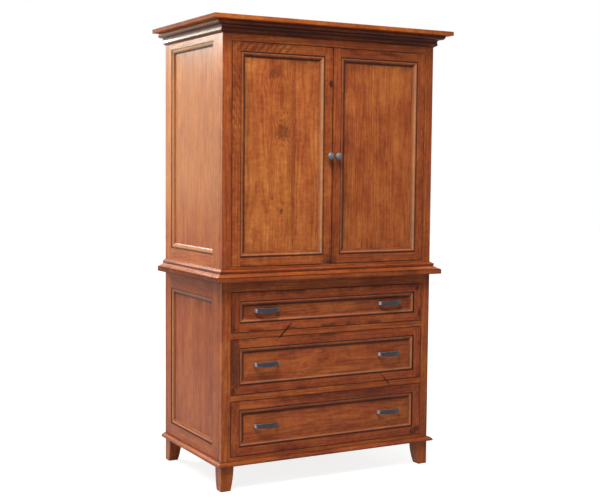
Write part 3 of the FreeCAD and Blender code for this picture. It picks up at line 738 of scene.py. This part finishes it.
def pan_head_screw(name, x, y, z, reach):
    """A pan-head machine screw seen from behind, with a cross recess cut in its head."""
    shank = [(-reach, screw_point), (-reach + screw_chamfer, screw_radius)]
    screw = turn_up(name, x, y, z, shank + head_profile, 1)
    for long_x, long_z in ((recess_long, recess_wide), (recess_wide, recess_long)):
        deselect()
        bpy.ops.mesh.primitive_cube_add(size=1, location=(x, y + head_height, z))
        cutter = bpy.context.object
        cutter.scale = (long_x, head_height, long_z)
        apply_place()
        select_only(screw)
        recess = screw.modifiers.new("recess", "BOOLEAN")
        recess.operation, recess.object, recess.solver = "DIFFERENCE", cutter, "EXACT"
        bpy.ops.object.modifier_apply(modifier="recess")
        bpy.data.objects.remove(cutter)
    bpy.ops.object.shade_smooth_by_angle(angle=smooth_angle)
    return screw


def copy_to(piece, name, move):
    """A copy with its own mesh, moved in the mesh."""
    select_only(piece)
    bpy.ops.object.duplicate()
    copied = bpy.context.object
    copied.name = name
    bpy.ops.transform.translate(value=move)
    apply_place()
    return copied


def wear_material(piece, material):
    piece.data.materials.clear()
    piece.data.materials.append(material)


knob_x = 0.020
knob_profile = [(0.0, 0.0056), (0.0006, 0.0060), (0.0019, 0.0060), (0.0025, 0.0057),
                (0.0040, 0.0054), (0.0062, 0.0054), (0.0085, 0.0060), (0.0110, 0.0074),
                (0.0135, 0.0093), (0.0158, 0.0113), (0.0180, 0.0133), (0.0200, 0.0148),
                (0.0215, 0.0156), (0.0228, 0.01595), (0.0238, 0.0160), (0.0246, 0.0158),
                (0.0252, 0.0154), (0.0256, 0.0150), (0.0262, 0.0147), (0.0276, 0.0137),
                (0.0294, 0.0118), (0.0308, 0.0095), (0.0319, 0.0068), (0.0326, 0.0039),
                (0.0329, 0.0019), (0.0330, 0.0004)]
door_back_y = -0.2545
knob_screw_reach = 0.021
pewter = pewter_finish("pewter", stain(114, 116, 120), stain(38, 40, 44), 0.4, 0.6, metal=0.3)
zinc = zinc_finish("zinc plate")
knob = turn_up("left_knob", -knob_x, front_y, door_z, knob_profile, -1)
wear_material(knob, pewter)
knob_screw = pan_head_screw("left_knob_screw", -knob_x, door_back_y, door_z, knob_screw_reach)
wear_material(knob_screw, zinc)
to_right = (2 * knob_x, 0, 0)
for side, knob_piece, screw_piece in (
        ("left", knob, knob_screw),
        ("right", copy_to(knob, "right_knob", to_right),
         copy_to(knob_screw, "right_knob_screw", to_right))):
    for piece, slot in ((knob_piece, "pewter"), (screw_piece, "zinc_steel")):
        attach(piece, side + "_door")
        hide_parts(side + "_door_knob")

# Hinges, catch, strikes and shelf pins: oil-rubbed brass knife hinges let into the door's head and
# foot, and a magnetic catch on the upper rail, moulded in brown plastic, that holds a steel strike
# on each door. Strikes and pins are zinc plated.


def brass_finish(name):
    """Tarnished brass, rubbed along the leaf."""
    material, tree, place, _ = new_material(name)
    tarnish = noise(tree, place, (150, 150, 150), 4, 0.6)
    rub = noise(tree, place, (60, 900, 900), 3, 0.6)
    colour = ramp(tree, lean(tree, tarnish, 1.4, 0.5),
                  ((0.2, stain(62, 40, 24)), (0.8, stain(112, 78, 44))))
    surface(tree, colour, lean(tree, rub, 0.3, 0.32), rub, 0.00005, metallic=1.0)
    return material


def plastic_finish(name):
    """Brown moulded plastic with a fine sparkle."""
    material, tree, place, _ = new_material(name)
    sparkle = noise(tree, place, (1400, 1400, 1400), 2)
    cloud = noise(tree, place, (60, 60, 60), 3)
    colour = ramp(tree, lean(tree, cloud, 0.8, 0.5),
                  ((0.2, stain(58, 36, 24)), (0.8, stain(80, 52, 36))))
    surface(tree, colour, lean(tree, sparkle, 0.2, 0.48), sparkle, 0.0001)
    return material


finish(brass_finish("hinge brass"),
       "hinge_frame_leaves", "left_door_hinge_leaves", "right_door_hinge_leaves")
finish(plastic_finish("catch plastic"), "door_catch")
finish(zinc, "left_door_strike", "right_door_strike", "shelf_pins")

# Drawer boxes: four maple boards each, dovetailed at the corners round a plywood bottom, and clear
# lacquered. The grain runs round the box, and the tails' end grain shows at the corners.
dovetailed_maple, given, gives = effect(
    "dovetailed maple",
    {"Place": None, "Low": 0.0, "Pitch": 0.04, "Front": 0.0, "Back": 0.5, "Inside": 0.4},
    ("Colour", "Figure"))
tree = dovetailed_maple
box_board = 0.0125
tail_share, tail_slope = 0.36, 5.0
x, y, z = wire(tree, "SeparateXYZ", given["Place"]).node.outputs
side = more(tree, size_of(tree, x), given["Inside"])
from_end = calc(tree, "MINIMUM", minus(tree, y, given["Front"]), minus(tree, given["Back"], y))
step = calc(tree, "FRACT", calc(tree, "DIVIDE", minus(tree, z, given["Low"]), given["Pitch"]))
tail_half = minus(tree, tail_share, times(tree, from_end, tail_slope))
tail = more(tree, tail_half, size_of(tree, minus(tree, step, 0.5)))
at_end = calc(tree, "LESS_THAN", from_end, box_board)
tail = times(tree, times(tree, tail, at_end), side)
spot = wire(tree, "CombineXYZ", pick(tree, side, x, y), pick(tree, side, y, x), z)
figure = noise(tree, spot, (4, 80, 80), 5, 0.6)
fleck = noise(tree, spot, (60, 420, 420), 3, 0.6)
end_grain = noise(tree, given["Place"], (500, 500, 500), 3, 0.6)
face_colour = ramp(tree, lean(tree, figure, 1.2, lean(tree, fleck, 0.5, 0.5)),
                   ((0.15, stain(196, 160, 114)), (0.5, stain(222, 192, 148)),
                    (0.9, stain(236, 212, 172))))
end_colour = ramp(tree, lean(tree, end_grain, 0.8, 0.5),
                  ((0.2, stain(150, 112, 72)), (0.8, stain(190, 152, 106))))
feed(tree, gives["Colour"], mix(tree, tail, face_colour, end_colour))
feed(tree, gives["Figure"], figure)

widest_tail = 0.04
for drawer in ("bottom_drawer", "middle_drawer", "top_drawer"):
    low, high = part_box(drawer + "_box")
    depth_z = high.z - low.z
    material, tree, place, _ = new_material(drawer + " maple")
    maple = lay(tree, dovetailed_maple, Place=place, Low=low.z, Front=low.y, Back=high.y,
                Pitch=depth_z / max(3, round(depth_z / widest_tail)), Inside=high.x - box_board)
    surface(tree, maple["Colour"], lean(tree, maple["Figure"], 0.2, 0.46), maple["Figure"],
            0.0002, Specular_IOR_Level=0.4)
    finish(material, drawer + "_box")

# Drawer slides: rolled steel members, zinc plated. One is screwed to the case, one to the drawer,
# and one runs between them.
finish(zinc, "slide_case_members", "bottom_slide_middle_members", "middle_slide_middle_members",
       "top_slide_middle_members", "bottom_drawer_slide_members", "middle_drawer_slide_members",
       "top_drawer_slide_members")

# Drawer fronts: small cherry frames and panels like the doors', screwed to the front of the boxes.
# Rails and panels have level grain, with darker worn corners and the ends of the gum streaks.
drawer_half_x = 0.4405
drawer_flat = (0.041, 0.039)
drawer_board = 0.11
drawer_red = 0.7
drawer_levels = {"bottom": (0.144, 0.379), "middle": (0.408, 0.643), "top": (0.672, 0.841)}
drawer_panel_tones = {"bottom": 0.58, "middle": 0.63, "top": 0.54}
drawer_marks = {
    "bottom": (mark(0.458, 0.166, 0.03, 0.016, turn=20), mark(0.16, 0.362, 0.34, 0.022, dark=0.42),
               gum_streak_right),
    "middle": (mark(-0.471, 0.425, 0.010, 0.024, dark=0.85),
               mark(-0.464, 0.53, 0.03, 0.13, dark=0.75), gum_streak_left, gum_streak_right),
    "top": (mark(-0.472, 0.73, 0.012, 0.08, dark=0.5), mark(0.458, 0.82, 0.014, 0.012, turn=30),
            mark(0.47, 0.705, 0.008, 0.018), mark(-0.467, 0.684, 0.014, 0.008), gum_streak_left)}
drawer_panel_marks = {
    "bottom": (), "middle": (mark(-0.03, 0.53, 0.05, 0.012, turn=5, dark=0.25, bend=0.04),),
    "top": ()}
for number, (drawer, (low_z, high_z)) in enumerate(drawer_levels.items()):
    opening = ((0.0, (low_z + high_z) / 2), (drawer_half_x, (high_z - low_z) / 2 - drawer_flat[1]))
    # The drawers' smudge also deepens the painted shade at the panel's foot and lit end, and
    # rubbed=0.2 keeps the lit end's painted highlight narrow.
    finish(cherry(drawer + " drawer frame cherry", "framed", "x", *opening, flat=drawer_flat,
                  seed=22.0 + number, tone=0.515, board=whole_board, marks=drawer_marks[drawer],
                  smudge=0.8, rubbed=0.2, red_share=drawer_red), drawer + "_drawer_front_frame")
    finish(cherry(drawer + " drawer panel cherry", "level", "x", *opening, seed=26.0 + number,
                  tone=drawer_panel_tones[drawer], board=drawer_board,
                  marks=drawer_panel_marks[drawer], smudge=1.0, red_share=drawer_red),
           drawer + "_drawer_front_panel")

# Pulls: arched gunmetal bars cast with their feet, lacquered dark and bared to pale metal at the
# ends and the upper edge, as wear and as painted highlight, two to a drawer, each held by two
# machine screws through the front. The section is bent round the bow and the bend, tapers towards
# the ends, and the feet flare a little.


def select_where(piece, kind, chosen):
    """Selects a piece's corners or faces by a test on each, and stays in edit mode."""
    bpy.ops.mesh.select_mode(type=kind)
    bpy.ops.mesh.select_all(action="DESELECT")
    bpy.ops.object.mode_set(mode="OBJECT")
    for item in piece.data.vertices if kind == "VERT" else piece.data.polygons:
        item.select = chosen(item)
    bpy.ops.object.mode_set(mode="EDIT")


pull_x = 0.311
pull_base_y = -0.265
pull_half = 0.059
pull_height = 0.0205
pull_out = 0.032
pull_bar = 0.006
pull_bow = 0.016
pull_bend = 0.007
pull_foot = 0.009
pull_worn_and_highlight_length = 0.012
flare_steps = (0.010, 0.0065, 0.0035)
taper_steps = (0.028, 0.034, 0.040, 0.046, 0.052)
taper_each = 0.95
cast_edge = 0.0026
bow_end = pull_half - pull_bend
bow_radius = (bow_end ** 2 + pull_bow ** 2) / (2 * pull_bow)
bow_angle = math.asin(bow_end / bow_radius)
bend_radius = pull_bend / (1 - math.sin(bow_angle))
front_of_pull = pull_base_y - pull_out
bend_y = front_of_pull + pull_bow + bend_radius * math.cos(bow_angle)
quarter_turn = math.radians(90)
deselect()
bpy.ops.mesh.primitive_plane_add(size=1, location=(0, front_of_pull + pull_bar / 2, 0),
                                 rotation=(0, quarter_turn, 0))
pull = bpy.context.object
pull.scale = (pull_height, pull_bar, 1)
apply_place()
bpy.ops.object.mode_set(mode="EDIT")
bpy.ops.mesh.select_all(action="SELECT")
bpy.ops.mesh.spin(steps=12, angle=-bow_angle, axis=(0, 0, 1),
                  center=(0, front_of_pull + bow_radius, 0))
bpy.ops.mesh.spin(steps=12, angle=bow_angle - quarter_turn, axis=(0, 0, 1),
                  center=(pull_half - bend_radius, bend_y, 0))
bpy.ops.mesh.extrude_region_move(TRANSFORM_OT_translate={"value": (0, pull_base_y - bend_y, 0)})
flare_each = (pull_foot / pull_bar) ** (1 / len(flare_steps))
for reach in flare_steps:
    select_where(pull, "VERT", lambda corner: corner.co.y > pull_base_y - reach)
    bpy.ops.transform.resize(value=(flare_each, 1, 1), center_override=(pull_half, 0, 0))
select_where(pull, "FACE", lambda face: abs(face.center.x) < 0.00001)
bpy.ops.mesh.delete(type="FACE")
bpy.ops.object.mode_set(mode="OBJECT")
mirrored = pull.modifiers.new("other half", "MIRROR")
mirrored.use_clip = True
bpy.ops.object.modifier_apply(modifier="other half")
bpy.ops.object.mode_set(mode="EDIT")
for reach in taper_steps:
    select_where(pull, "VERT", lambda corner: abs(corner.co.x) > reach)
    bpy.ops.transform.resize(value=(1, 1, taper_each), center_override=(0, 0, 0))
bpy.ops.mesh.select_mode(type="FACE")
bpy.ops.object.mode_set(mode="OBJECT")
close_mesh()
rounded = pull.modifiers.new("cast edges", "BEVEL")
rounded.width, rounded.segments, rounded.limit_method = cast_edge, 4, "ANGLE"
rounded.angle_limit = math.radians(40)
bpy.ops.object.modifier_apply(modifier="cast edges")
bpy.ops.object.shade_smooth_by_angle(angle=smooth_angle)
# The pale ends are wear and painted highlight.
pale_ends_wear_and_highlight = (pull_x, pull_half - pull_worn_and_highlight_length, pull_half, stain(190, 186, 190))
gunmetal = pewter_finish("gunmetal", stain(54, 54, 62), stain(24, 24, 28), 0.3, 0.5,
                         ends=pale_ends_wear_and_highlight)
wear_material(pull, gunmetal)
pull_screw_reach = 0.0285
pull_screw = pan_head_screw("pull_screw", 0, 0, 0, pull_screw_reach)
wear_material(pull_screw, zinc)
foot_x = pull_half - pull_foot / 2
for drawer in drawer_levels:
    low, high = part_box(drawer + "_drawer_pulls")
    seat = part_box(drawer + "_drawer_pull_screws")[1].y - head_height
    middle_z = (low.z + high.z) / 2
    for side, x in (("left", -pull_x), ("right", pull_x)):
        piece = copy_to(pull, drawer + "_" + side + "_pull", (x, 0, middle_z))
        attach(piece, drawer + "_drawer")
        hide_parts(drawer + "_drawer_pulls")
        for end, at in (("inner", -foot_x), ("outer", foot_x)):
            screw = copy_to(pull_screw, f"{drawer}_{side}_pull_{end}_screw",
                            (x + at, seat, middle_z))
            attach(screw, drawer + "_drawer")
            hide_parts(drawer + "_drawer_pull_screws")
for pattern in (pull, pull_screw):
    bpy.data.objects.remove(pattern)

# Studio: a plain white floor that keeps a faint shadow, and a white surround. A large soft light
# stands at the front left, two behind on the left lie along the side as a sheen, and two small
# ones fill in from the left and the right.


def shown_white(tree):
    """1 for rays that see the plain background: the camera's, and those off metal and glass."""
    seen = wire(tree, "LightPath").node.outputs
    shown = seen["Is Camera Ray"]
    for ray in ("Is Glossy Ray", "Is Transmission Ray"):
        shown = most(tree, shown, seen[ray])
    return shown


floor_grey = (0.36, 0.36, 0.36, 1.0)
floor_near, floor_rise = 0.83, 0.17
surround_light = 0.32
deselect()
bpy.ops.mesh.primitive_plane_add(size=30, location=(0, 0, 0))
floor = bpy.context.object
floor.name = "floor"
material, tree, place, _ = new_material("studio floor")
base = tree.nodes.new("ShaderNodeBsdfDiffuse")
base.inputs["Color"].default_value = floor_grey
glow = tree.nodes.new("ShaderNodeEmission")
away = wire(tree, "VectorMath", place, operation="LENGTH", out=1)
brightness = scaled(tree, ease(tree, away, 1.0, 3.5), floor_rise, floor_near)
feed(tree, glow.inputs["Strength"], times(tree, shown_white(tree), brightness))
both = wire(tree, "AddShader", base.outputs[0], glow.outputs[0])
feed(tree, tree.nodes.new("ShaderNodeOutputMaterial").inputs["Surface"], both)
wear_material(floor, material)

scene = bpy.context.scene
scene.view_settings.view_transform = "Standard"
world = bpy.data.worlds.new("white studio")
scene.world = world
world.use_nodes = True
tree = world.node_tree
tree.nodes.clear()
backdrop = tree.nodes.new("ShaderNodeBackground")
backdrop.inputs["Color"].default_value = (1, 1, 1, 1)
feed(tree, backdrop.inputs["Strength"], pick(tree, shown_white(tree), surround_light, 1.0))
feed(tree, tree.nodes.new("ShaderNodeOutputWorld").inputs["Surface"], backdrop.outputs[0])

for name, place, aim, width, height, power, tint in (
        ("front left light", (-1.6, -1.9, 4.4), (0, -0.2, 1.0), 2.0, 2.0, 214, (1, 1, 1)),
        ("side sheen light", (-1.75, 2.85, 2.0), (-0.525, 0, 1.6), 1.9, 1.9, 25, (1, 0.94, 0.5)),
        ("high sheen light", (-1.75, 2.85, 2.66), (-0.525, 0, 1.9), 1.8, 0.6, 125,
         (1, 0.96, 0.88)),
        ("left light", (-3.8, -2.3, 1.2), (0, -0.3, 0.9), 1.0, 1.0, 12, (1, 1, 1)),
        ("right light", (3.6, 1.2, 1.6), (0.5, 0.1, 1.0), 1.5, 1.5, 45, (1, 1, 1))):
    lamp = bpy.data.lights.new(name, "AREA")
    lamp.shape = "RECTANGLE"
    lamp.size, lamp.size_y, lamp.energy, lamp.color = width, height, power, tint
    light = bpy.data.objects.new(name, lamp)
    light.visible_camera = False
    scene.collection.objects.link(light)
    light.location = place
    run, over, drop = (there - here for here, there in zip(place, aim))
    light.rotation_euler = (math.atan2(math.hypot(run, over), -drop), 0, math.atan2(-run, over))

# Camera: at the photograph's place, a little under head height and off the left corner, tilted
# down slightly.
tilt_down, roll, turn_right = 4.20, -0.53, 28.90
camera_data = bpy.data.cameras.new("camera")
camera_data.lens = 67.21
camera_data.sensor_width = 36
camera = bpy.data.objects.new("camera", camera_data)
scene.collection.objects.link(camera)
camera.location = (-2.4779, -4.4745, 1.3640)
camera.rotation_euler = (math.radians(90 - tilt_down), math.radians(roll),
                         math.radians(-turn_right))
scene.camera = camera

bpy.context.view_layer.update()
